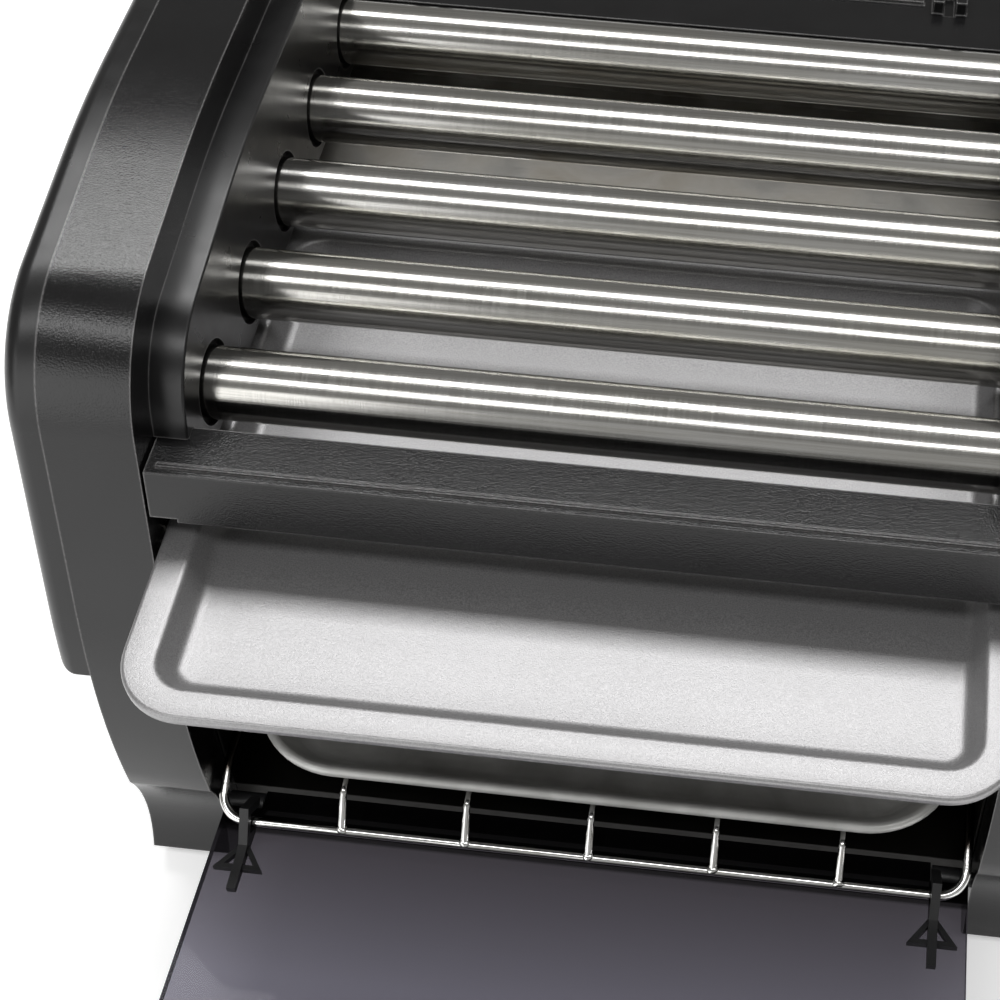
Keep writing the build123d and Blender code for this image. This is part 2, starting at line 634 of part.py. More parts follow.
def baking_pan():
    """Loose dark baking pan with a rolled rim, standing on the rack."""
    floor_z = RACK_FLOOR_Z + FLOOR_WIRE + 0.05
    top = floor_z + PAN_HEIGHT

    def plan(grow):
        return RectangleRounded(PAN_WIDTH + 2 * grow, PAN_LENGTH + 2 * grow, PAN_CORNER + grow)

    shell = Pos(0, 0, top) * extrude(plan(-6.0), amount=-PAN_HEIGHT, taper=14)
    shell -= Pos(0, 0, top) * extrude(plan(-6.0 - SHEET), amount=-PAN_HEIGHT + SHEET, taper=14)
    shell += Pos(0, 0, top - SHEET) * extrude(plan(0) - plan(-6.5), amount=SHEET)
    shell += Pos(0, 0, top - 4.0) * extrude(plan(0) - plan(-SHEET), amount=4.0)
    pan_front = RACK_FRONT_Y + 7.6
    return Pos(OPEN_CENTRE + 1.5, pan_front + PAN_LENGTH / 2, 0) * shell


# ---- door -------------------------------------------------------------------------------------------
def door_glass():
    """Smoked glass panel with rounded outer corners and holes for the handle screws."""
    plate = Box(GLASS_WIDTH, GLASS_LENGTH, GLASS_THICKNESS)
    outer_corners = plate.edges().filter_by(Axis.Z).group_by(Axis.Y)[0]
    plate = fillet(outer_corners, 8.0)
    glass = Pos(0, -GLASS_START - GLASS_LENGTH / 2, GLASS_OFFSET) * plate
    for side in (-1, 1):
        glass -= Pos(side * HANDLE_SPREAD, HANDLE_Y, 0) * Cylinder(2.6, 30)
        notch_length = KNUCKLE_LENGTH + 0.6
        notch_x = side * (GLASS_WIDTH - notch_length) / 2
        notch_y = -(RAIL_START + GLASS_START) / 2
        glass -= Pos(notch_x, notch_y, 0) * Box(notch_length, RAIL_START - GLASS_START, 30)
    return door_frame() * glass


def hinge_rail():
    """Narrow rail under the glass along the hinge, with a knuckle and a pin at each end."""
    low = (-GLASS_WIDTH / 2, -RAIL_END, UNDER_GLASS - 2.0)
    rail = box_between(low, (GLASS_WIDTH / 2, -RAIL_START, UNDER_GLASS))
    pin_length = (OPENING_WIDTH - GLASS_WIDTH) / 2 + 3.2
    for side in (-1, 1):
        end_x = side * GLASS_WIDTH / 2
        middle_x = end_x - side * KNUCKLE_LENGTH / 2
        rail += Pos(middle_x, 0, 0) * Rot(0, 90, 0) * Cylinder(KNUCKLE_RADIUS, KNUCKLE_LENGTH)
        rail += box_between(
            (middle_x - KNUCKLE_LENGTH / 2, -RAIL_START - 0.5, UNDER_GLASS - 2.0),
            (middle_x + KNUCKLE_LENGTH / 2, 0.0, UNDER_GLASS),
        )
        pin_x = end_x + side * pin_length / 2
        rail += Pos(pin_x, 0, 0) * Rot(0, 90, 0) * Cylinder(HINGE_PIN_RADIUS, pin_length)
    return door_frame() * rail


def door_handle():
    """Bar handle on two posts, on the outer face of the glass."""
    reach = 24.0
    bar_radius = 5.0
    span = 2 * HANDLE_SPREAD + 26.0
    bar_z = UNDER_GLASS - reach + bar_radius
    handle = Pos(0, HANDLE_Y, bar_z) * Rot(0, 90, 0) * Cylinder(bar_radius, span)
    handle = fillet(handle.edges(), 2.5)
    for side in (-1, 1):
        post_x = side * HANDLE_SPREAD
        low = (post_x - 6, HANDLE_Y - 4.5, bar_z)
        handle += box_between(low, (post_x + 6, HANDLE_Y + 4.5, UNDER_GLASS))
        handle -= Pos(post_x, HANDLE_Y, UNDER_GLASS - 5) * Cylinder(1.5, 10)
    return door_frame() * handle


def handle_screws():
    """Screws through the glass into the handle posts."""
    top = GLASS_OFFSET + GLASS_THICKNESS / 2
    group = []
    for side in (-1, 1):
        head = Pos(side * HANDLE_SPREAD, HANDLE_Y, top + 0.9) * Cylinder(4.0, 1.8)
        shank = Pos(side * HANDLE_SPREAD, HANDLE_Y, top - 5.5) * Cylinder(1.45, 11.0)
        cross = Pos(side * HANDLE_SPREAD, HANDLE_Y, top + 1.8) * (Box(5, 1, 1.6) + Box(1, 5, 1.6))
        group.append(door_frame() * (head + shank - cross))
    return Compound(children=group)


def rack_hooks():
    """Two hooks on the door that reach over the rack's front bar and draw the rack in and out."""
    bar_out = HINGE_Y - RACK_FRONT_Y
    bar_up = RACK_FRONT_Z - HINGE_Z
    tilt = degrees(atan2(bar_up, bar_out)) - DOOR_OPEN_RISE
    gap = 3.3
    prong = 3.0
    web_start = sqrt(bar_out**2 + bar_up**2) + RACK_WIRE + 0.9
    web_end = web_start + prong
    fork = Pos(-(web_start + prong / 2), 0) * Rectangle(prong, 2 * (gap + prong))
    for side, prong_start in ((1, 10.0), (-1, 13.5)):
        arm = Rectangle(web_end - prong_start, prong)
        fork += Pos(-(web_end + prong_start) / 2, side * (gap + prong / 2)) * arm
    top = GLASS_OFFSET + GLASS_THICKNESS / 2 + 0.02
    foot_end = -37.0
    foot = Polygon(
        (-21.6, 8.35),
        (-26.0, top + 3.2),
        (foot_end, top + 2.4),
        (foot_end, top),
        (-15.0, top),
        (-19.5, 8.6),
        align=None,
    )
    below_glass_top = Pos(-20.0, top - 15.0) * Rectangle(60.0, 30.0)
    side_view = Rot(0, 0, -tilt) * fork - below_glass_top + foot
    triangle = Polygon((0.0, -18.0), (-8.2, -29.5), (8.2, -29.5), align=None)
    triangle -= offset(triangle, amount=-1.7, kind=Kind.INTERSECTION)
    group = []
    for side in (-1, 1):
        middle = side * HOOK_SPREAD
        hook = along_x(side_view, middle - HOOK_THICKNESS / 2, middle + HOOK_THICKNESS / 2)
        base = Pos(middle, 0, top) * extrude(triangle, amount=2.2)
        group.append(door_frame() * (hook + base))
    return Compound(children=group)


# ---- base and back ------------------------------------------------------------------------------------
def base_pan():
    """Folded sheet floor between the casings, under the oven."""
    front = HINGE_Y + 8.0
    low = 9.0
    top = 27.0
    pan = box_between((OPEN_LEFT, front, low), (OPEN_RIGHT, BACK_PANEL_Y, top))
    pan -= box_between(
        (OPEN_LEFT + PANEL_SHEET, front + PANEL_SHEET, low + PANEL_SHEET),
        (OPEN_RIGHT - PANEL_SHEET, BACK_PANEL_Y - PANEL_SHEET, top + 1),
    )
    lip = box_between((OPEN_LEFT, front, top - PANEL_SHEET), (OPEN_RIGHT, front + 8.0, top))
    return drill_back_screws(pan + lip)


def drill_back_screws(piece):
    """Cut the back panel's screw holes out of a piece."""
    for x, z in BACK_SCREWS:
        piece -= Pos(x, BACK_PANEL_Y, z) * Rot(90, 0, 0) * Cylinder(SCREW_HOLE, 24)
    return piece


def back_panel():
    """Folded sheet back with rows of cooling slots."""
    outer = BACK_PANEL_Y + PANEL_SHEET
    panel = box_between((OPEN_LEFT, BACK_PANEL_Y, 12.0), (OPEN_RIGHT, outer, BEAM_TOP))
    for row in range(6):
        for column in (-1, 0, 1):
            slot = Box(46.0, 6.0, 3.6)
            panel -= Pos(OPEN_CENTRE + column * 70.0, BACK_PANEL_Y, 70.0 + 11.0 * row) * slot
    return drill_back_screws(panel)


# ---- drive --------------------------------------------------------------------------------------------
def involute(angle):
    """The involute function of a pressure angle in radians."""
    return tan(angle) - angle


def gear_outline(teeth, phase):
    """Spur gear outline in (Y, Z), with one tooth pointing at the phase angle in degrees."""
    pressure = radians(20)
    backlash = 0.16
    pitch_radius = GEAR_MODULE * teeth / 2
    base_radius = pitch_radius * cos(pressure)
    root_radius = pitch_radius - 1.25 * GEAR_MODULE
    tip_radius = pitch_radius + 0.95 * GEAR_MODULE
    half_pitch = pi / (2 * teeth) - backlash / (2 * pitch_radius) + involute(pressure)
    steps = 5
    start = max(root_radius, base_radius)
    flank = []
    for i in range(steps):
        radius = start + (tip_radius - start) * i / (steps - 1)
        flank.append((radius, half_pitch - involute(acos(min(1.0, base_radius / radius)))))
    points = []
    for tooth in range(teeth):
        middle = radians(phase) + 2 * pi * tooth / teeth
        side = [(root_radius, flank[0][1])] + flank
        for radius, angle in side:
            points.append((radius * cos(middle - angle), radius * sin(middle - angle)))
        for radius, angle in reversed(side):
            points.append((radius * cos(middle + angle), radius * sin(middle + angle)))
    return Polygon(*points, align=None)


def gear(y, z, teeth, phase, bore):
    """A spur gear on an axis parallel to X."""
    outline = Pos(y, z) * (gear_outline(teeth, phase) - Circle(bore))
    return along_x(outline, GEAR_START_X, GEAR_START_X + GEAR_WIDTH)


def mating_phase(phase, teeth, mate_teeth, direction):
    """Phase of a gear that meshes with another one, seen in a direction in degrees."""
    turned = (direction - phase) * teeth / 360
    return direction + 180 - (0.5 - turned) * 360 / mate_teeth


def roller_phases():
    """Phase of each roller gear, worked along the train so that every pair is in mesh."""
    phases = [0.0]
    for _ in range(TUBE_COUNT - 1):
        idler = mating_phase(phases[-1], ROLLER_TEETH, IDLER_TEETH, -MESH_ANGLE)
        phases.append(mating_phase(idler, IDLER_TEETH, ROLLER_TEETH, MESH_ANGLE))
    return phases


def idler_axles():
    """Shouldered pins that carry the idler gears."""
    start = OPEN_RIGHT + 0.4
    shoulder = GEAR_START_X - 0.3
    end = DRIVE_PLATE_X - 0.2
    group = []
    for y, z in IDLER_PLACES:
        pin = rod_x(y, z, IDLER_AXLE_RADIUS, start, end)
        pin += rod_x(y, z, 4.4, OPEN_RIGHT + SKIN, shoulder)
        pin += rod_x(y, z, 4.4, GEAR_START_X + GEAR_WIDTH + 0.3, end)
        group.append(pin)
    return Compound(children=group)


def drive_plate():
    """Steel plate on four posts that holds the motor and the heating rods' ends."""
    outline = Pos(3.0, 172.0) * RectangleRounded(212, 54, 6)
    outline += Pos(PINION_Y, PINION_Z) * Circle(30.0)
    plate = along_x(outline, DRIVE_PLATE_X, DRIVE_PLATE_X + DRIVE_PLATE)
    for y in TUBE_YS:
        plate -= rod_x(y, TUBE_HEIGHT, ROD_RADIUS + RUNNING_GAP, DRIVE_PLATE_X - 1, DRIVE_PLATE_X + 4)
    plate -= rod_x(PINION_Y, PINION_Z, MOTOR_SHAFT_RADIUS + 1.0, DRIVE_PLATE_X - 1, DRIVE_PLATE_X + 4)
    for y, z in POST_PLACES:
        plate += rod_x(y, z, 4.0, OPEN_RIGHT + SKIN, DRIVE_PLATE_X + 0.5)
    for y, z in motor_screw_places():
        plate -= rod_x(y, z, SCREW_HOLE, DRIVE_PLATE_X - 1, DRIVE_PLATE_X + 4)
    return plate


def motor_screw_places():
    """Places of the motor's two fixing screws."""
    return [(PINION_Y + side * (MOTOR_RADIUS + 3.5), PINION_Z) for side in (-1, 1)]


def gear_motor():
    """Flat synchronous gear motor with two fixing ears and a bore for its output shaft."""
    start = DRIVE_PLATE_X + DRIVE_PLATE
    motor = rod_x(PINION_Y, PINION_Z, MOTOR_RADIUS, start, start + MOTOR_DEPTH)
    motor = fillet(motor.edges(), 1.5)
    for y, z in motor_screw_places():
        ear = Pos(y, z) * Circle(4.5) + Pos((y + PINION_Y) / 2, z) * Rectangle(abs(y - PINION_Y), 9)
        ear -= Pos(PINION_Y, PINION_Z) * Circle(MOTOR_RADIUS - 3)
        motor += along_x(ear - Pos(y, z) * Circle(SCREW_HOLE), start, start + 2.0)
    coil = box_between(
        (start + 4.0, PINION_Y - 12, PINION_Z - 34), (start + 18.0, PINION_Y + 12, PINION_Z - 20)
    )
    motor += coil
    return motor - rod_x(PINION_Y, PINION_Z, MOTOR_SHAFT_RADIUS + RUNNING_GAP, start - 1, start + 12)


def motor_pinion(phase):
    """The gear motor's output shaft with its pinion cut on it."""
    end = DRIVE_PLATE_X + DRIVE_PLATE + 11.0
    shaft = rod_x(PINION_Y, PINION_Z, MOTOR_SHAFT_RADIUS, GEAR_START_X - 1.0, end)
    return gear(PINION_Y, PINION_Z, PINION_TEETH, phase, MOTOR_SHAFT_RADIUS / 2) + shaft


# ---- controls -----------------------------------------------------------------------------------------
def front_band(low_z, high_z, thickness):
    """A strip that lies on the casing's front between two heights, in (Y, Z)."""
    window = Pos(-BODY_DEPTH / 2, (low_z + high_z) / 2) * Rectangle(120, high_z - low_z)
    return (offset(PROFILE, amount=thickness) - PROFILE) & window


def control_panel():
    """Curved glossy panel on the front of the right casing."""
    low_z = 40.0
    high_z = 196.0
    band = front_band(low_z, high_z, PANEL_THICKNESS)
    panel = along_x(band, CONTROL_X - PANEL_WIDTH / 2, CONTROL_X + PANEL_WIDTH / 2)
    for z in KNOB_HEIGHTS.values():
        panel -= front_frame(z) * Rot(90, 0, 0) * Cylinder(SHAFT_RADIUS + 1.0, 20)
    panel -= front_frame(SWITCH_HEIGHT) * Box(20, 20, 12)
    panel -= front_frame(LAMP_HEIGHT) * Rot(90, 0, 0) * Cylinder(2.6, 20)
    return panel


def knob(z):
    """Round knob with a raised grip bar across its face."""
    start = PANEL_THICKNESS + KNOB_GAP
    skirt = Pos(0, -start - 2.5, 0) * Rot(90, 0, 0) * Cylinder(KNOB_RADIUS, 5.0)
    grip = Pos(0, -start - KNOB_LENGTH / 2, 0) * Box(7.0, KNOB_LENGTH, 2 * KNOB_RADIUS - 4.0)
    grip = fillet(grip.edges().filter_by(Axis.Y), 3.0)
    core = Pos(0, -start - 5.0, 0) * Rot(90, 0, 0) * Cylinder(8.0, 10.0)
    mark = Pos(0, -start - KNOB_LENGTH, KNOB_RADIUS - 6.0) * Box(1.4, 0.8, 7.0)
    body = skirt + grip + core - mark
    body -= Pos(0, -start - 4.0, 0) * Rot(90, 0, 0) * Cylinder(SHAFT_RADIUS, 8.001)
    return front_frame(z) * body


def knob_shaft(z):
    """Shaft between a knob and its control."""
    start = -SKIN - 6.0
    end = PANEL_THICKNESS + KNOB_GAP + 8.0
    middle = (start + end) / 2
    return front_frame(z) * Pos(0, -middle, 0) * Rot(90, 0, 0) * Cylinder(SHAFT_RADIUS, end - start)


def control_body(z, width, height, depth):
    """A control behind the panel, with a bore for its shaft."""
    clear = SKIN + 0.5
    body = Pos(0, clear + depth / 2, 0) * Box(width, depth, height)
    body = fillet(body.edges().filter_by(Axis.Y), 2.0)
    body += Pos(0, clear + depth + 3.0, 0) * Box(width - 12, 6.0, height - 12)
    body -= Pos(0, clear, 0) * Rot(90, 0, 0) * Cylinder(SHAFT_RADIUS + RUNNING_GAP, 13.0)
    return front_frame(z) * body


def timer_body():
    """Clockwork timer with a round bell."""
    z = KNOB_HEIGHTS["timer"]
    bell = Pos(0, SKIN + 27.0, 0) * Rot(90, 0, 0) * Cylinder(14.0, 5.0)
    return control_body(z, 34.0, 32.0, 18.0) + front_frame(z) * bell


def switch_housing():
    """Frame of the rocker switch, snapped into the panel."""
    bezel = Pos(0, -PANEL_THICKNESS - 0.6, 0) * Box(23, 1.2, 15)
    body = box_between((-9.8, -PANEL_THICKNESS - 0.6, -5.8), (9.8, 17.4, 5.8))
    housing = bezel + body
    housing -= Pos(0, 2.5, 0) * Box(16.0, 16.0, 9.6)
    return front_frame(SWITCH_HEIGHT) * housing


def switch_rocker():
    """Rocker of the roller switch, tipped to its off side."""
    body = Rot(0, 90, 0) * Cylinder(3.6, 15.4)
    paddle = Pos(0, -2.6, 0) * Box(15.4, 2.6, 8.0)
    return front_frame(SWITCH_HEIGHT) * Pos(0, -ROCKER_PIVOT, 0) * Rot(ROCKER_TILT, 0, 0) * (body + paddle)


def indicator_lens():
    """Round amber lens of the pilot lamp."""
    stem = Pos(0, 2.0, 0) * Rot(90, 0, 0) * Cylinder(2.5, 9.0)
    dome = Pos(0, -PANEL_THICKNESS - 0.9, 0) * Rot(90, 0, 0) * Cylinder(3.4, 1.8)
    return front_frame(LAMP_HEIGHT) * (stem + fillet(dome.edges().sort_by(Axis.Y)[0], 1.0))


# ---- cord -----------------------------------------------------------------------------------------------
def strain_relief():
    """Moulded grommet where the cord leaves the back."""
    inner = Pos(CORD_X, REAR_Y - SKIN - 2.2, CORD_Z) * Rot(90, 0, 0) * Cylinder(7.5, 4.0)
    neck = Pos(CORD_X, REAR_Y - SKIN / 2, CORD_Z) * Rot(90, 0, 0) * Cylinder(5.9, SKIN + 0.8)
    boot = Pos(CORD_X, REAR_Y + 5.2, CORD_Z) * Rot(-90, 0, 0) * Cone(7.5, 4.8, 10.0)
    bore = Pos(CORD_X, REAR_Y, CORD_Z) * Rot(90, 0, 0) * Cylinder(CORD_RADIUS, 60)
    return inner + neck + boot - bore


def power_cord():
    """Cord that drops to the table and runs along behind the appliance to its moulded plug."""
    rest_z = CORD_RADIUS + 0.3
    cord = wire(
        [
            (CORD_X, REAR_Y - 14.0, CORD_Z),
            (CORD_X, REAR_Y + 26.0, CORD_Z),
            (CORD_X, REAR_Y + 34.0, rest_z),
            (CORD_X - 30.0, REAR_Y + 80.0, rest_z),
            (CORD_END_X - 6.0, CORD_END_Y, rest_z),
        ],
        9.0,
        CORD_RADIUS,
    )
    return cord + power_plug()


def power_plug():
    """Moulded plug with two flat pins, at the cord's free end."""
    body = Pos(-16.0, 0, 0) * Box(32, 22, 16)
    body = fillet(body.edges().filter_by(Axis.X), 4.0)
    body += Pos(-33.0, 0, 0) * Box(4, PLUG_WIDTH, 18)
    for side in (-1, 1):
        body += Pos(-43.0, side * 6.0, 0) * Box(18, 1.5, 6.3)
    return Pos(CORD_END_X, CORD_END_Y, 9.3) * body


# ---- write every sub-part ---------------------------------------------------------------------------------
def write_fixed_parts():
    """Sub-parts of the body that don't move."""
    save(left_casing(), "left_casing")
    save(right_casing(), "right_casing")
    save(side_cover(LEFT_SEAM, LEFT_OUTER), "left_side_cover")
    save(side_cover(RIGHT_SEAM, RIGHT_OUTER), "right_side_cover")
    save(pan_head_screws(), "pan_head_screws")
    save(feet(), "rubber_feet")
    save(roller_wall(DECK_LEFT, OPEN_LEFT), "left_roller_wall")
    save(roller_wall(DECK_RIGHT, OPEN_RIGHT), "right_roller_wall")
    save(roller_bushes(), "roller_bushes")
    save(heating_rods(), "roller_heating_rods")
    save(front_beam(), "front_beam")
    save(rear_beam(), "rear_beam")
    save(heat_shield(), "heat_shield")
    save(oven_liner(), "oven_liner")
    save(oven_elements(), "oven_elements")
    save(element_insulators(), "element_insulators")
    save(base_pan(), "base_pan")
    save(back_panel(), "back_panel")
    save(idler_axles(), "idler_axles")
    save(drive_plate(), "drive_plate")
    save(gear_motor(), "gear_motor")
    save(control_panel(), "control_panel")
    save(timer_body(), "timer_body")
    save(control_body(KNOB_HEIGHTS["mode"], 30.0, 30.0, 14.0), "mode_switch_body")
    save(control_body(KNOB_HEIGHTS["temperature"], 24.0, 34.0, 12.0), "thermostat_body")
    save(switch_housing(), "roller_switch_housing")
    save(indicator_lens(), "indicator_lens")
    save(strain_relief(), "strain_relief")
    save(power_cord(), "power_cord")


def write_moving_parts():
    """Sub-parts that turn, swing or slide."""
    phases = roller_phases()
    for number, (y, phase) in enumerate(zip(TUBE_YS, phases), start=1):
        save(roller_tube(y), f"roller_tube_{number}")
        save(gear(y, TUBE_HEIGHT, ROLLER_TEETH, phase, TUBE_RADIUS), f"roller_gear_{number}")
    for number, (y, z) in enumerate(IDLER_PLACES, start=1):
        phase = mating_phase(phases[number - 1], ROLLER_TEETH, IDLER_TEETH, -MESH_ANGLE)
        bore = IDLER_AXLE_RADIUS + RUNNING_GAP
        save(gear(y, z, IDLER_TEETH, phase, bore), f"idler_gear_{number}")
        if number == 2:
            pinion_phase = mating_phase(phase, IDLER_TEETH, PINION_TEETH, -90)
    save(motor_pinion(pinion_phase), "motor_pinion")
    save(drip_tray(), "drip_tray")
    save(wire_rack(), "wire_rack")
    save(baking_pan(), "baking_pan")
    save(door_glass(), "door_glass")
    save(hinge_rail(), "door_hinge_rail")
    save(door_handle(), "door_handle")
    save(handle_screws(), "handle_screws")
    save(rack_hooks(), "rack_hooks")
    for name, z in KNOB_HEIGHTS.items():
        save(knob(z), f"{name}_knob")
        save(knob_shaft(z), f"{name}_shaft")
    save(switch_rocker(), "roller_switch_rocker")


write_fixed_parts()
write_moving_parts()
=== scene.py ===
"""Looks of the hot dog roller grill with a toaster oven below the rollers.

Everything is in metres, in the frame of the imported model: +X right, +Y back, +Z up, table at Z 0.
"""

import json
import math

import bmesh
import bpy
from mathutils import Matrix, Vector

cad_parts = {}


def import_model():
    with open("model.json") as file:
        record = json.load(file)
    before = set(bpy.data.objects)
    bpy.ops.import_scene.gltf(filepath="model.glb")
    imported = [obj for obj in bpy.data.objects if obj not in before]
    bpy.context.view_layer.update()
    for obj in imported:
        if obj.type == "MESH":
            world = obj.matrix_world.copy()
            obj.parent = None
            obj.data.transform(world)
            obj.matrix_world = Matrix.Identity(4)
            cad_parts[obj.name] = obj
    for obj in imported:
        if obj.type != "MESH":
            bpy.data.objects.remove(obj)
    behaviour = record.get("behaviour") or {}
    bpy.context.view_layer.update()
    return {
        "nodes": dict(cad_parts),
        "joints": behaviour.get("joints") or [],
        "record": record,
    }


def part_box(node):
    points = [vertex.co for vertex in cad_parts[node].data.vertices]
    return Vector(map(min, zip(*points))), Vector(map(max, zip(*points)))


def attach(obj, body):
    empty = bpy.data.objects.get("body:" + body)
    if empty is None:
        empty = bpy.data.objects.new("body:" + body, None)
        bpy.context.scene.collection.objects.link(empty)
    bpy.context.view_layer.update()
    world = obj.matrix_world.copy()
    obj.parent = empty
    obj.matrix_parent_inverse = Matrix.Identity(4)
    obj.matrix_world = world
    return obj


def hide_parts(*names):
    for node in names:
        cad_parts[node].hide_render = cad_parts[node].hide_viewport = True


MM = 0.001
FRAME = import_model()
NODES = FRAME["nodes"]

# Painted shade, near black, on the parts that lie in shade inside the oven: the mouth's edge, the rack
# behind its front bar, the lining.
MOUTH_Y = -90 * MM
RACK_IN_OVEN_Y = -132 * MM
OVEN_SHADE_TOP_Z = 110 * MM
PAINTED_OVEN_SHADE = (0.02, 0.019, 0.017)

GLASS_IOR = 1.52
GLASS_BAND_START = 0.88  # share of the glass from its free edge to the dark band at the hinge
SHEET = 0.8 * MM  # thickness of the tray and the pan


# ---- node helpers --------------------------------------------------------------------------------
class Finish:
    """A Principled material whose detail is laid out in object space, in metres."""

    def __init__(self, name, metallic=0.0):
        self.material = bpy.data.materials.new(name)
        self.material.use_nodes = True
        self.tree = self.material.node_tree
        self.shader = self.tree.nodes["Principled BSDF"]
        coordinates = self.tree.nodes.new("ShaderNodeTexCoord")
        self.place = coordinates.outputs["Object"]
        self.generated = coordinates.outputs["Generated"]
        self.raised = None
        self.set("Metallic", metallic)

    def set(self, name, value):
        """Give one of the shader's inputs a plain value."""
        self.shader.inputs[name].default_value = value

    def link(self, source, target):
        """Join a node's output to another node's input."""
        self.tree.links.new(source, target)

    def node(self, kind, **inputs):
        """Add a node and feed its named inputs."""
        made = self.tree.nodes.new(kind)
        for name, value in inputs.items():
            self.feed(made.inputs[name], value)
        return made

    def feed(self, socket, value):
        """Give a socket a plain value or another node's output."""
        if isinstance(value, bpy.types.NodeSocket):
            self.link(value, socket)
        else:
            socket.default_value = value

    def color(self, value):
        """A node's output as it is, or three plain values with full opacity added."""
        return value if isinstance(value, bpy.types.NodeSocket) else (*value, 1.0)

    def stretched(self, scale):
        """Object coordinates scaled along each axis."""
        mapping = self.node("ShaderNodeMapping", Vector=self.place, Scale=scale)
        return mapping.outputs["Vector"]

    def noise(self, size, detail=3.0, stretch=(1, 1, 1), distortion=0.0):
        """Noise with features about size metres across."""
        inputs = {"Detail": detail, "Scale": 1.0 / size, "Distortion": distortion}
        made = self.node("ShaderNodeTexNoise", Vector=self.stretched(stretch), **inputs)
        return made.outputs["Fac"]

    def cells(self, size):
        """Rounded cells about size metres across."""
        made = self.node("ShaderNodeTexVoronoi", Vector=self.place, Scale=1.0 / size)
        return made.outputs["Distance"]

    def range(self, value, low, high, start=0.3, end=0.7):
        """A value between two levels, mapped to another range."""
        levels = {"From Min": start, "From Max": end, "To Min": low, "To Max": high}
        made = self.node("ShaderNodeMapRange", Value=value, **levels)
        return made.outputs["Result"]

    def math(self, operation, a, b=0.0):
        """The result of a math node on two values."""
        made = self.node("ShaderNodeMath")
        made.operation = operation
        self.feed(made.inputs[0], a)
        self.feed(made.inputs[1], b)
        return made.outputs["Value"]

    def mix(self, factor, a, b):
        """Colour a where factor is 0, colour b where it is 1."""
        made = self.tree.nodes.new("ShaderNodeMix")
        made.data_type = "RGBA"
        self.feed(made.inputs[0], factor)
        self.feed(made.inputs[6], self.color(a))
        self.feed(made.inputs[7], self.color(b))
        return made.outputs[2]

    def drift(self, pattern, a, b):
        """Colour that drifts from a to b with a noise pattern."""
        return self.mix(self.range(pattern, 0.0, 1.0), a, b)

    def coordinate(self, axis, place=None):
        """One coordinate, X, Y or Z, in object space unless another space is given."""
        split = self.node("ShaderNodeSeparateXYZ", Vector=place or self.place)
        return split.outputs[axis]

    def edges(self, radius):
        """1 on a sharp edge, falling to 0 at about radius metres from it."""
        rounded = self.node("ShaderNodeBevel", Radius=radius)
        rounded.samples = 6
        plain = self.node("ShaderNodeNewGeometry")
        dot = self.node("ShaderNodeVectorMath")
        dot.operation = "DOT_PRODUCT"
        self.link(rounded.outputs["Normal"], dot.inputs[0])
        self.link(plain.outputs["True Normal"], dot.inputs[1])
        return self.range(dot.outputs["Value"], 0.0, 1.0, 0.985, 0.92)

    def paint(self, color):
        """Base colour, from a node's output or as three plain values."""
        self.feed(self.shader.inputs["Base Color"], self.color(color))

    def rough(self, value):
        """Roughness, from a node's output or as a plain value."""
        self.feed(self.shader.inputs["Roughness"], value)

    def bump(self, height, depth, strength=1.0):
        """Raise the surface by a height pattern, depth metres deep, over any bump made before."""
        made = self.node("ShaderNodeBump", Height=height, Strength=strength, Distance=depth)
        if self.raised is not None:
            self.link(self.raised, made.inputs["Normal"])
        self.raised = made.outputs["Normal"]
        self.link(self.raised, self.shader.inputs["Normal"])


# ---- materials -----------------------------------------------------------------------------------
def grained_black():
    """Moulded black plastic with a fine spark-eroded grain and pale lines painted along its edges as
    highlights.
    """
    look = Finish("grained_black")
    grain = look.noise(0.5 * MM, detail=2.0)
    speck = look.noise(0.9 * MM)
    body = look.drift(look.noise(26 * MM), (0.0048, 0.0047, 0.005), (0.0085, 0.0084, 0.0088))
    # Painted highlight: pale thin lines along the sharp edges, broken up by speckle.
    painted_edge_highlight = look.math("MULTIPLY", look.edges(0.9 * MM), look.range(speck, 0.45, 1.0))
    look.paint(look.mix(painted_edge_highlight, body, (0.20, 0.195, 0.195)))
    look.rough(look.range(grain, 0.14, 0.21))
    look.bump(grain, 0.065 * MM, 1.0)
    return look.material


def gloss_black():
    """Smooth moulded black plastic with a faint ripple, a few handling marks and highlights painted along
    its edges.
    """
    look = Finish("gloss_black")
    marks = look.noise(9 * MM, distortion=0.4)
    # Painted highlight: pale thin lines along the sharp edges, broken up by the marks.
    painted_edge_highlight = look.math("MULTIPLY", look.edges(0.8 * MM), look.range(marks, 0.5, 1.0))
    look.paint(look.mix(painted_edge_highlight, (0.006, 0.0059, 0.0062), (0.16, 0.155, 0.155)))
    look.rough(look.range(marks, 0.27, 0.33))
    look.bump(look.noise(0.7 * MM), 0.02 * MM, 0.6)
    return look.material


def roller_steel():
    """Polished stainless tube with fine marks round it and streaks of wear along it."""
    look = Finish("roller_steel", metallic=1.0)
    rings = look.noise(0.35 * MM, detail=4.0, stretch=(1, 0.02, 0.02))
    streaks = look.noise(0.9 * MM, detail=6.0, stretch=(0.015, 1, 1), distortion=0.2)
    patches = look.noise(34 * MM, detail=4.0, stretch=(0.5, 1, 1))
    tint = look.drift(patches, (0.60, 0.595, 0.58), (0.52, 0.51, 0.475))
    look.paint(look.mix(look.range(streaks, 0.0, 0.55, 0.40, 0.72), tint, (0.33, 0.32, 0.285)))
    wear = look.math("MULTIPLY", look.range(rings, 0.0, 1.0), look.range(streaks, 0.4, 1.0))
    look.rough(look.range(wear, 0.13, 0.26, 0.0, 1.0))
    look.bump(rings, 0.014 * MM, 0.7)
    look.bump(streaks, 0.045 * MM, 0.5)
    return look.material


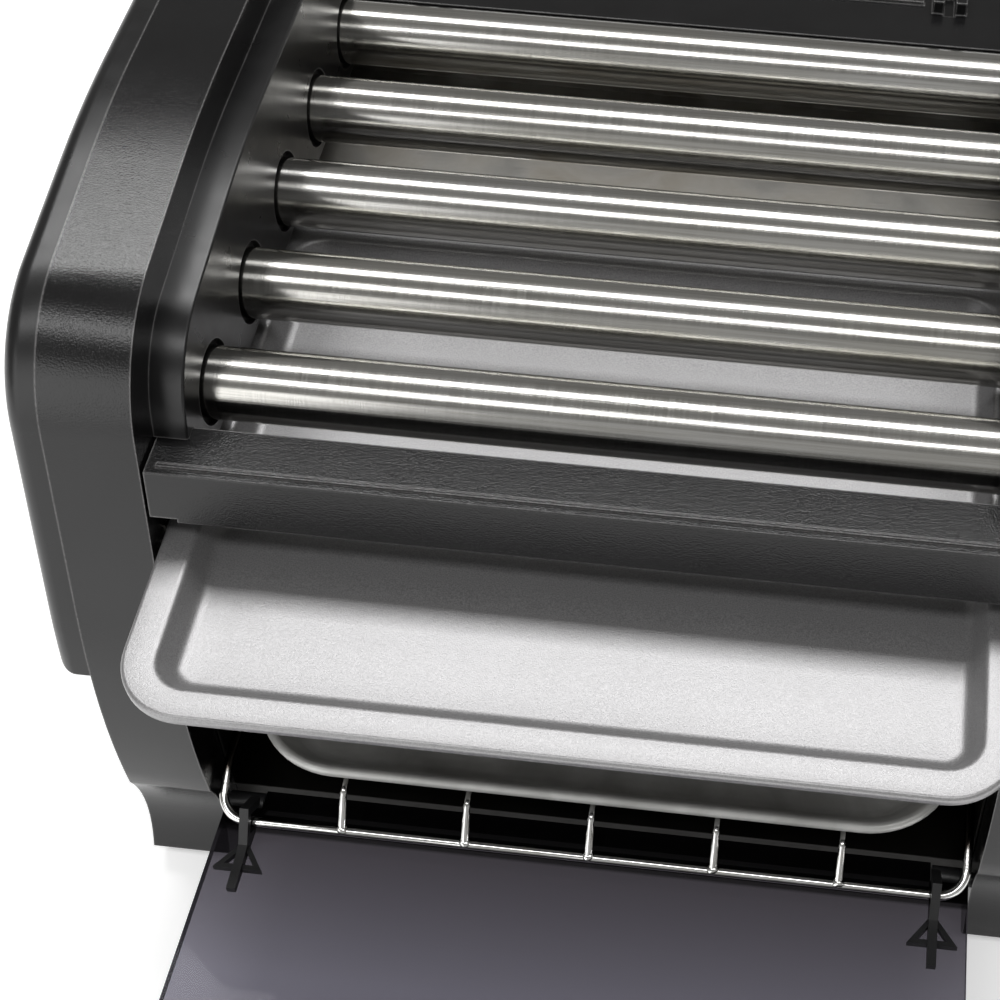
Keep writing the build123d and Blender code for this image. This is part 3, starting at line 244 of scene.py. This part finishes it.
def tray_metal():
    """Pressed sheet with a fine satin grain that mirrors softly."""
    look = Finish("tray_metal", metallic=0.6)
    sparkle = look.noise(0.42 * MM, detail=2.0)
    cloud = look.noise(40 * MM)
    pale = look.drift(sparkle, (0.27, 0.267, 0.27), (0.41, 0.405, 0.41))
    look.paint(look.mix(look.range(cloud, 0.0, 0.25), pale, (0.28, 0.277, 0.28)))
    look.rough(look.range(sparkle, 0.30, 0.46))
    look.bump(sparkle, 0.06 * MM, 0.8)
    look.bump(look.noise(30 * MM), 0.25 * MM, 0.25)
    return look.material


def pan_metal():
    """Dark coated steel of the baking pan, rubbed paler in places."""
    look = Finish("pan_metal", metallic=0.35)
    speck = look.noise(0.6 * MM, detail=2.0)
    rub = look.noise(18 * MM, detail=5.0, distortion=0.6)
    look.paint(look.drift(rub, (0.50, 0.50, 0.48), (0.72, 0.72, 0.70)))
    look.rough(look.range(speck, 0.30, 0.48))
    look.bump(speck, 0.04 * MM, 0.6)
    return look.material


def shield_steel():
    """Dull heat shield and oven lining, stained by use, painted near black as shade low in the oven."""
    look = Finish("shield_steel", metallic=0.9)
    rolled = look.noise(0.9 * MM, detail=4.0, stretch=(0.04, 1, 1))
    stain = look.noise(30 * MM, detail=6.0, distortion=0.8)
    stained = look.drift(stain, (0.32, 0.315, 0.30), (0.19, 0.175, 0.15))
    # Painted shade: the lining turns near black low in the oven, where it lies in shade.
    painted_oven_shade_mask = look.range(look.coordinate("Z"), 1.0, 0.0, OVEN_SHADE_TOP_Z - 40 * MM, OVEN_SHADE_TOP_Z)
    look.paint(look.mix(painted_oven_shade_mask, stained, PAINTED_OVEN_SHADE))
    look.rough(look.range(stain, 0.28, 0.5))
    look.bump(rolled, 0.02 * MM, 0.5)
    return look.material


def plated_steel():
    """Zinc plated sheet with a faint crystal pattern, painted near black as shade at the oven's mouth."""
    look = Finish("plated_steel", metallic=1.0)
    crystal = look.cells(7 * MM)
    plated = look.mix(look.range(crystal, 0.0, 1.0, 0.1, 0.7), (0.42, 0.42, 0.42), (0.58, 0.58, 0.57))
    # Painted shade: the sheet turns near black toward the front, at the oven's mouth, where it lies in
    # shade.
    painted_oven_shade_mask = look.range(look.coordinate("Y"), 1.0, 0.0, MOUTH_Y - 20 * MM, MOUTH_Y)
    look.paint(look.mix(painted_oven_shade_mask, plated, PAINTED_OVEN_SHADE))
    look.rough(look.range(look.noise(4 * MM), 0.32, 0.46))
    look.bump(look.noise(1.2 * MM), 0.015 * MM, 0.5)
    return look.material


def chrome_wire():
    """Bright plated wire, slightly wavy under the plating, painted near black as shade where it stays in
    the oven.
    """
    look = Finish("chrome_wire", metallic=1.0)
    wave = look.noise(2.2 * MM, detail=4.0)
    look.rough(look.range(wave, 0.05, 0.16))
    bright = look.drift(look.noise(9 * MM), (0.84, 0.84, 0.84), (0.68, 0.67, 0.64))
    # Painted shade: the wire turns near black behind the rack's front bar, inside the shaded oven.
    painted_rack_shade_mask = look.range(look.coordinate("Y"), 0.0, 1.0, RACK_IN_OVEN_Y - 6 * MM, RACK_IN_OVEN_Y)
    look.paint(look.mix(painted_rack_shade_mask, bright, (0.035, 0.03, 0.026)))
    look.bump(wave, 0.06 * MM, 0.5)
    return look.material


def rod_steel():
    """Dark sheath of a heating element, dulled by heat."""
    look = Finish("rod_steel", metallic=0.9)
    heat = look.noise(12 * MM, detail=4.0, stretch=(0.6, 1, 1))
    look.paint(look.drift(heat, (0.13, 0.125, 0.12), (0.24, 0.20, 0.16)))
    look.rough(look.range(heat, 0.38, 0.55))
    look.bump(look.noise(0.7 * MM), 0.02 * MM, 0.6)
    return look.material


def screw_steel():
    """Small turned and plated parts."""
    look = Finish("screw_steel", metallic=1.0)
    turned = look.noise(0.5 * MM)
    look.paint(look.drift(turned, (0.45, 0.45, 0.44), (0.60, 0.60, 0.59)))
    look.rough(look.range(turned, 0.22, 0.38))
    look.bump(turned, 0.012 * MM, 0.6)
    return look.material


def motor_case():
    """Plated motor can with faint draw lines."""
    look = Finish("motor_case", metallic=1.0)
    drawn = look.noise(0.8 * MM, stretch=(0.05, 1, 1))
    look.paint(look.drift(drawn, (0.50, 0.49, 0.46), (0.60, 0.59, 0.55)))
    look.rough(look.range(drawn, 0.28, 0.42))
    look.bump(drawn, 0.02 * MM, 0.5)
    return look.material


def smoked_glass():
    """Tinted glass with painted shade darkening it toward its hinge edge, banded there, that mirrors at a
    low angle.
    """
    look = Finish("smoked_glass")
    smear = look.noise(60 * MM, detail=4.0, distortion=0.6)
    look.paint((0.02, 0.02, 0.022))
    look.rough(look.range(smear, 0.02, 0.06))
    look.set("IOR", GLASS_IOR)
    toward_hinge = look.coordinate("Y", look.generated)
    # Painted shade: the tint darkens from the middle of the glass toward its hinge edge.
    painted_glass_shade = look.range(toward_hinge, 0.0, 1.0, 0.45, GLASS_BAND_START)
    tint = look.mix(painted_glass_shade, (0.52, 0.51, 0.56), (0.34, 0.325, 0.35))
    band = look.range(toward_hinge, 0.0, 1.0, GLASS_BAND_START - 0.005, GLASS_BAND_START + 0.005)
    clear = look.node("ShaderNodeBsdfTransparent", Color=look.mix(band, tint, (0.09, 0.088, 0.09)))
    fresnel = look.node("ShaderNodeFresnel", IOR=GLASS_IOR)
    share = look.range(fresnel.outputs["Fac"], 0.0, 1.0, 0.0, 0.55)
    mixed = look.node("ShaderNodeMixShader", Fac=share)
    look.link(clear.outputs["BSDF"], mixed.inputs[1])
    look.link(look.shader.outputs["BSDF"], mixed.inputs[2])
    output = look.tree.nodes["Material Output"]
    look.link(mixed.outputs["Shader"], output.inputs["Surface"])
    return look.material


def black_fitting():
    """Fine matte black mouldings: knobs, handle, hooks and fittings."""
    look = Finish("black_fitting")
    grain = look.noise(0.4 * MM, detail=2.0)
    look.paint(look.drift(look.noise(8 * MM), (0.016, 0.016, 0.017), (0.024, 0.024, 0.025)))
    look.rough(look.range(grain, 0.32, 0.46))
    look.bump(grain, 0.035 * MM, 0.7)
    return look.material


def plain_plastic(name, color, pale, roughness):
    """A smooth moulding with slight colour drift and moulding ripple."""
    look = Finish(name)
    cloud = look.noise(6 * MM, detail=4.0)
    look.paint(look.drift(cloud, color, pale))
    look.rough(look.range(cloud, roughness * 0.85, roughness * 1.2))
    look.bump(look.noise(0.6 * MM), 0.015 * MM, 0.6)
    return look.material


def soft_rubber(name, color, size):
    """Rubber with a fine bloom."""
    look = Finish(name)
    bloom = look.noise(size)
    pale = tuple(channel * 1.8 for channel in color)
    look.paint(look.drift(bloom, color, pale))
    look.rough(look.range(bloom, 0.55, 0.75))
    look.bump(bloom, 0.05 * MM, 0.6)
    return look.material


def lamp_amber():
    """Translucent amber lens."""
    look = Finish("lamp_amber")
    ribs = look.cells(1.1 * MM)
    look.paint(look.mix(look.range(ribs, 0.0, 1.0, 0.0, 0.6), (0.90, 0.36, 0.04), (0.60, 0.18, 0.01)))
    look.rough(look.range(ribs, 0.08, 0.2, 0.0, 0.6))
    look.set("Transmission Weight", 0.35)
    look.bump(ribs, 0.08 * MM, 0.5)
    return look.material


MATERIALS = {
    "grained_black": grained_black(),
    "gloss_black": gloss_black(),
    "roller_steel": roller_steel(),
    "gear_nylon": plain_plastic("gear_nylon", (0.70, 0.68, 0.62), (0.78, 0.77, 0.72), 0.42),
    "rod_steel": rod_steel(),
    "tray_metal": tray_metal(),
    "pan_metal": pan_metal(),
    "shield_steel": shield_steel(),
    "plated_steel": plated_steel(),
    "chrome_wire": chrome_wire(),
    "screw_steel": screw_steel(),
    "smoked_glass": smoked_glass(),
    "black_fitting": black_fitting(),
    "rocker_red": plain_plastic("rocker_red", (0.42, 0.015, 0.01), (0.55, 0.03, 0.02), 0.2),
    "lamp_amber": lamp_amber(),
    "bush_ptfe": plain_plastic("bush_ptfe", (0.03, 0.03, 0.03), (0.05, 0.05, 0.048), 0.45),
    "ceramic_white": plain_plastic("ceramic_white", (0.74, 0.71, 0.64), (0.84, 0.82, 0.77), 0.6),
    "foot_rubber": soft_rubber("foot_rubber", (0.02, 0.02, 0.02), 1.0 * MM),
    "cord_black": soft_rubber("cord_black", (0.016, 0.016, 0.016), 1.5 * MM),
    "motor_case": motor_case(),
}


# ---- finishing the CAD nodes ---------------------------------------------------------------------
# Width of the eased edges in each slot, in millimetres.
BEVELS = {
    "grained_black": 0.35,
    "gloss_black": 0.35,
    "black_fitting": 0.4,
    "smoked_glass": 0.6,
    "rocker_red": 0.6,
    "plated_steel": 0.15,
    "shield_steel": 0.12,
    "gear_nylon": 0.15,
    "motor_case": 0.2,
    "screw_steel": 0.12,
    "foot_rubber": 0.6,
    "bush_ptfe": 0.3,
    "ceramic_white": 0.3,
    "roller_steel": 0.15,
}


def finish_cad_nodes():
    """Give each CAD node its slot's material, and round its sharp edges slightly."""
    slots = {part["node"]: part["material_slot"] for part in FRAME["record"]["subparts"]}
    for name, node in NODES.items():
        slot = slots[name]
        node.data.materials.clear()
        node.data.materials.append(MATERIALS[slot])
        weld = node.modifiers.new("join_split_edges", "WELD")
        weld.merge_threshold = 1e-6
        if slot in BEVELS:
            bevel = node.modifiers.new("eased_edges", "BEVEL")
            bevel.width = BEVELS[slot] * MM
            bevel.segments = 2
            bevel.limit_method = "ANGLE"
            bevel.angle_limit = math.radians(38)
        node.modifiers.new("even_shading", "WEIGHTED_NORMAL")


# ---- mesh helpers --------------------------------------------------------------------------------
def piece_from(name, mesh, body, slot, replaced=()):
    """Make a named piece that rides on a body and stands for CAD nodes."""
    piece = bpy.data.objects.new(name, mesh)
    bpy.context.scene.collection.objects.link(piece)
    for polygon in mesh.polygons:
        polygon.use_smooth = True
    mesh.materials.append(MATERIALS[slot])
    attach(piece, body)
    if replaced:
        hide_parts(*replaced)
    return piece


def rounded_loop(width, length, radius, height, steps):
    """Points round a rectangle with rounded corners, the same number whatever its size."""
    points = []
    for quarter, (side_x, side_y) in enumerate(((1, 1), (-1, 1), (-1, -1), (1, -1))):
        centre_x = side_x * (width / 2 - radius)
        centre_y = side_y * (length / 2 - radius)
        for step in range(steps + 1):
            angle = math.radians(90 * (quarter + step / steps))
            x = centre_x + radius * math.cos(angle)
            y = centre_y + radius * math.sin(angle)
            points.append((x, y, height))
    return points


def arc(centre, radius, start, end, steps=6):
    """Points along an arc in a section, angles in degrees."""
    points = []
    for step in range(steps + 1):
        angle = math.radians(start + (end - start) * step / steps)
        points.append((centre[0] + radius * math.cos(angle), centre[1] + radius * math.sin(angle)))
    return points


def pressed_sheet(name, width, length, corner, section, steps=14):
    """A dished sheet: each (inset, height) of the section gives one loop, and the last is closed."""
    mesh = bmesh.new()
    rows = []
    for inset, height in section:
        radius = max(corner - inset, 2 * MM)
        loop = rounded_loop(width - 2 * inset, length - 2 * inset, radius, height, steps)
        rows.append([mesh.verts.new(point) for point in loop])
    for outer, inner in zip(rows, rows[1:]):
        for index in range(len(outer)):
            after = (index + 1) % len(outer)
            mesh.faces.new((outer[index], outer[after], inner[after], inner[index]))
    mesh.faces.new(rows[-1])
    bmesh.ops.recalc_face_normals(mesh, faces=mesh.faces)
    data = bpy.data.meshes.new(name)
    mesh.to_mesh(data)
    mesh.free()
    return data


def thicken(piece):
    """Give a pressed sheet its thickness, below the drawn surface."""
    solid = piece.modifiers.new("sheet", "SOLIDIFY")
    solid.thickness = SHEET
    solid.offset = -1.0
    solid.use_even_offset = True


# ---- drip tray -----------------------------------------------------------------------------------
def tray_slope():
    """The drip tray's slope, from the axis that it slides along."""
    axis = next(joint["axis"] for joint in FRAME["joints"] if joint["name"] == "drip_tray_slide")
    return math.atan2(axis[2], axis[1])


def drip_tray():
    """Pressed tray with a flat flange, rolled edges and a soft cove round its floor."""
    low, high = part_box("drip_tray")
    slope = tray_slope()
    lip = 3.0 * MM
    width = high.x - low.x
    length = (high.y - low.y - lip * math.sin(slope)) / math.cos(slope)
    corner = 20.5 * MM
    flange = 9.1 * MM
    depth = 8.0 * MM
    edge = 1.3 * MM  # radius where the flange turns down into the lip
    roll = 2.2 * MM  # radius where the flange turns down into the wall
    cove = 4.2 * MM  # radius where the wall meets the floor
    wall = math.radians(22)  # lean of the wall from upright
    section = [(0.0, -lip), (0.0, -lip / 2)]
    section += arc((edge, -edge), edge, 180, 90)
    roll_centre = (flange - roll * 0.3, -roll)
    section += arc(roll_centre, roll, 90, math.degrees(wall))
    foot = flange + (depth - roll) * math.tan(wall) + roll * 1.2
    cove_centre = (foot + cove * 0.6, -depth + cove)
    section += arc(cove_centre, cove, 180 + math.degrees(wall), 270)
    section += [(foot + cove + 6 * MM, -depth), (40 * MM, -depth)]
    data = pressed_sheet("drip_tray_sheet", width, length, corner, section)
    centre_y = low.y + length / 2 * math.cos(slope)
    centre_z = high.z - length / 2 * math.sin(slope)
    place = Matrix.Translation(((low.x + high.x) / 2, centre_y, centre_z)) @ Matrix.Rotation(slope, 4, "X")
    data.transform(place)
    tray = piece_from("drip_tray_sheet", data, "drip_tray_body", "tray_metal", ("drip_tray",))
    thicken(tray)


# ---- baking pan ----------------------------------------------------------------------------------
def baking_pan():
    """Dark pan with a rolled rim and sloping sides."""
    low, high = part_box("baking_pan")
    width = high.x - low.x
    length = high.y - low.y
    depth = high.z - low.z - SHEET
    corner = 30 * MM
    rim = 2.0 * MM
    cove = 5.0 * MM  # radius where the wall meets the floor
    wall = math.radians(24)  # lean of the wall from upright
    section = arc((rim, -rim), rim, 215, 62, steps=10)
    foot = rim * 2 + (depth - rim) * math.tan(wall)
    section += arc((foot + cove, -depth + cove), cove, 180 + math.degrees(wall), 270)
    section += [(foot + cove + 8 * MM, -depth), (50 * MM, -depth)]
    data = pressed_sheet("baking_pan_sheet", width, length, corner, section)
    data.transform(Matrix.Translation(((low.x + high.x) / 2, (low.y + high.y) / 2, high.z)))
    pan = piece_from("baking_pan_sheet", data, "rack", "pan_metal", ("baking_pan",))
    thicken(pan)


# ---- rack welds ----------------------------------------------------------------------------------
def weld_beads():
    """Small uneven beads where the long wires are welded to the rack's front bar."""
    low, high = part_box("wire_rack")
    middle = (low.x + high.x) / 2
    wires = 5
    pitch = 41.2 * MM
    half_size = Vector((2.3, 2.0, 2.0)) * MM
    mesh = bmesh.new()
    for index in range(wires):
        x = middle + (index - (wires - 1) / 2) * pitch
        centre = Vector((x, low.y + 1.9 * MM, low.z + 2.2 * MM))
        made = bmesh.ops.create_icosphere(mesh, subdivisions=3, radius=1.0)
        for vertex in made["verts"]:
            wave = math.sin(vertex.co.x * 3.1 + index) * math.cos(vertex.co.z * 2.7)
            vertex.co = centre + vertex.co * half_size * (1.0 + 0.12 * wave)
    data = bpy.data.meshes.new("rack_weld_beads")
    mesh.to_mesh(data)
    mesh.free()
    piece_from("rack_weld_beads", data, "rack", "chrome_wire")


# ---- stage ---------------------------------------------------------------------------------------
def floor():
    """Wide plain white floor, lit a little from within."""
    mesh = bmesh.new()
    bmesh.ops.create_grid(mesh, x_segments=4, y_segments=4, size=6.0)
    data = bpy.data.meshes.new("floor")
    mesh.to_mesh(data)
    mesh.free()
    plane = bpy.data.objects.new("floor", data)
    bpy.context.scene.collection.objects.link(plane)
    look = Finish("floor_white")
    look.paint((0.93, 0.93, 0.93))
    look.rough(0.9)
    look.set("Emission Color", (1.0, 1.0, 1.0, 1.0))
    look.set("Emission Strength", 0.42)
    data.materials.append(look.material)


def world():
    """Even grey surroundings."""
    made = bpy.data.worlds.new("surroundings")
    bpy.context.scene.world = made
    made.use_nodes = True
    background = made.node_tree.nodes["Background"]
    background.inputs["Color"].default_value = (1.0, 0.99, 0.965, 1.0)
    background.inputs["Strength"].default_value = 0.22


def softbox(name, elevation, span, radiance, across=0.0, width=2.2):
    """A box facing the rollers that spans an angle above the front horizon, straight up being 90."""
    target = Vector((-0.05, -0.03, 0.17))
    distance = 1.7
    angle = math.radians(elevation)
    place = target + Vector((across, -math.cos(angle) * distance, math.sin(angle) * distance))
    light = bpy.data.lights.new(name, "AREA")
    light.shape = "RECTANGLE"
    light.size = width
    light.size_y = 2 * distance * math.tan(math.radians(span) / 2)
    light.energy = radiance * math.pi * light.size * light.size_y
    lamp = bpy.data.objects.new(name, light)
    bpy.context.scene.collection.objects.link(lamp)
    lamp.location = place
    lamp.rotation_euler = (target - place).to_track_quat("-Z", "Y").to_euler()


def lights():
    """A softbox behind the top, a strip above the front, and pale boards in front and at the left."""
    softbox("rear_softbox", 113, 12, 9.5)
    softbox("front_strip", 64, 9, 6.0)
    softbox("front_board", 24, 30, 0.20, width=3.4)
    softbox("left_board", 18, 42, 1.6, across=-1.15, width=1.3)


def camera():
    """Camera at its station, looking down at the left front of the appliance."""
    data = bpy.data.cameras.new("camera")
    data.sensor_width = 36.0
    data.lens = 66.16
    data.clip_start = 0.01
    cam = bpy.data.objects.new("camera", data)
    bpy.context.scene.collection.objects.link(cam)
    right = Vector((0.99380, 0.10976, 0.01762))
    up = Vector((-0.09730, 0.78218, 0.61541))
    back = right.cross(up)
    turn = Matrix((right, up, back)).transposed().to_4x4()
    cam.matrix_world = Matrix.Translation((0.03327, -0.42528, 0.58573)) @ turn
    bpy.context.scene.camera = cam
    only_at_station(cam, "shift_x", -0.22)
    only_at_station(cam, "shift_y", 0.0196)


def only_at_station(cam, setting, value):
    """Shift the lens while the camera is at its station, and not once it is moved elsewhere."""
    station = bpy.data.objects.get("camera_station")
    if station is None:
        station = bpy.data.objects.new("camera_station", None)
        bpy.context.scene.collection.objects.link(station)
        station.location = cam.matrix_world.translation
    curve = cam.data.driver_add(setting)
    curve.driver.type = "SUM"
    distance = curve.driver.variables.new()
    distance.type = "LOC_DIFF"
    distance.targets[0].id = cam
    distance.targets[1].id = station
    while curve.modifiers:
        curve.modifiers.remove(curve.modifiers[0])
    curve.keyframe_points.clear()
    for metres_away, level in ((0.0, value), (0.1, 0.0)):
        key = curve.keyframe_points.insert(metres_away, level)
        key.interpolation = "LINEAR"
    curve.extrapolation = "CONSTANT"


finish_cad_nodes()
drip_tray()
baking_pan()
weld_beads()
floor()
world()
lights()
camera()
bpy.context.scene.view_settings.view_transform = "Standard"
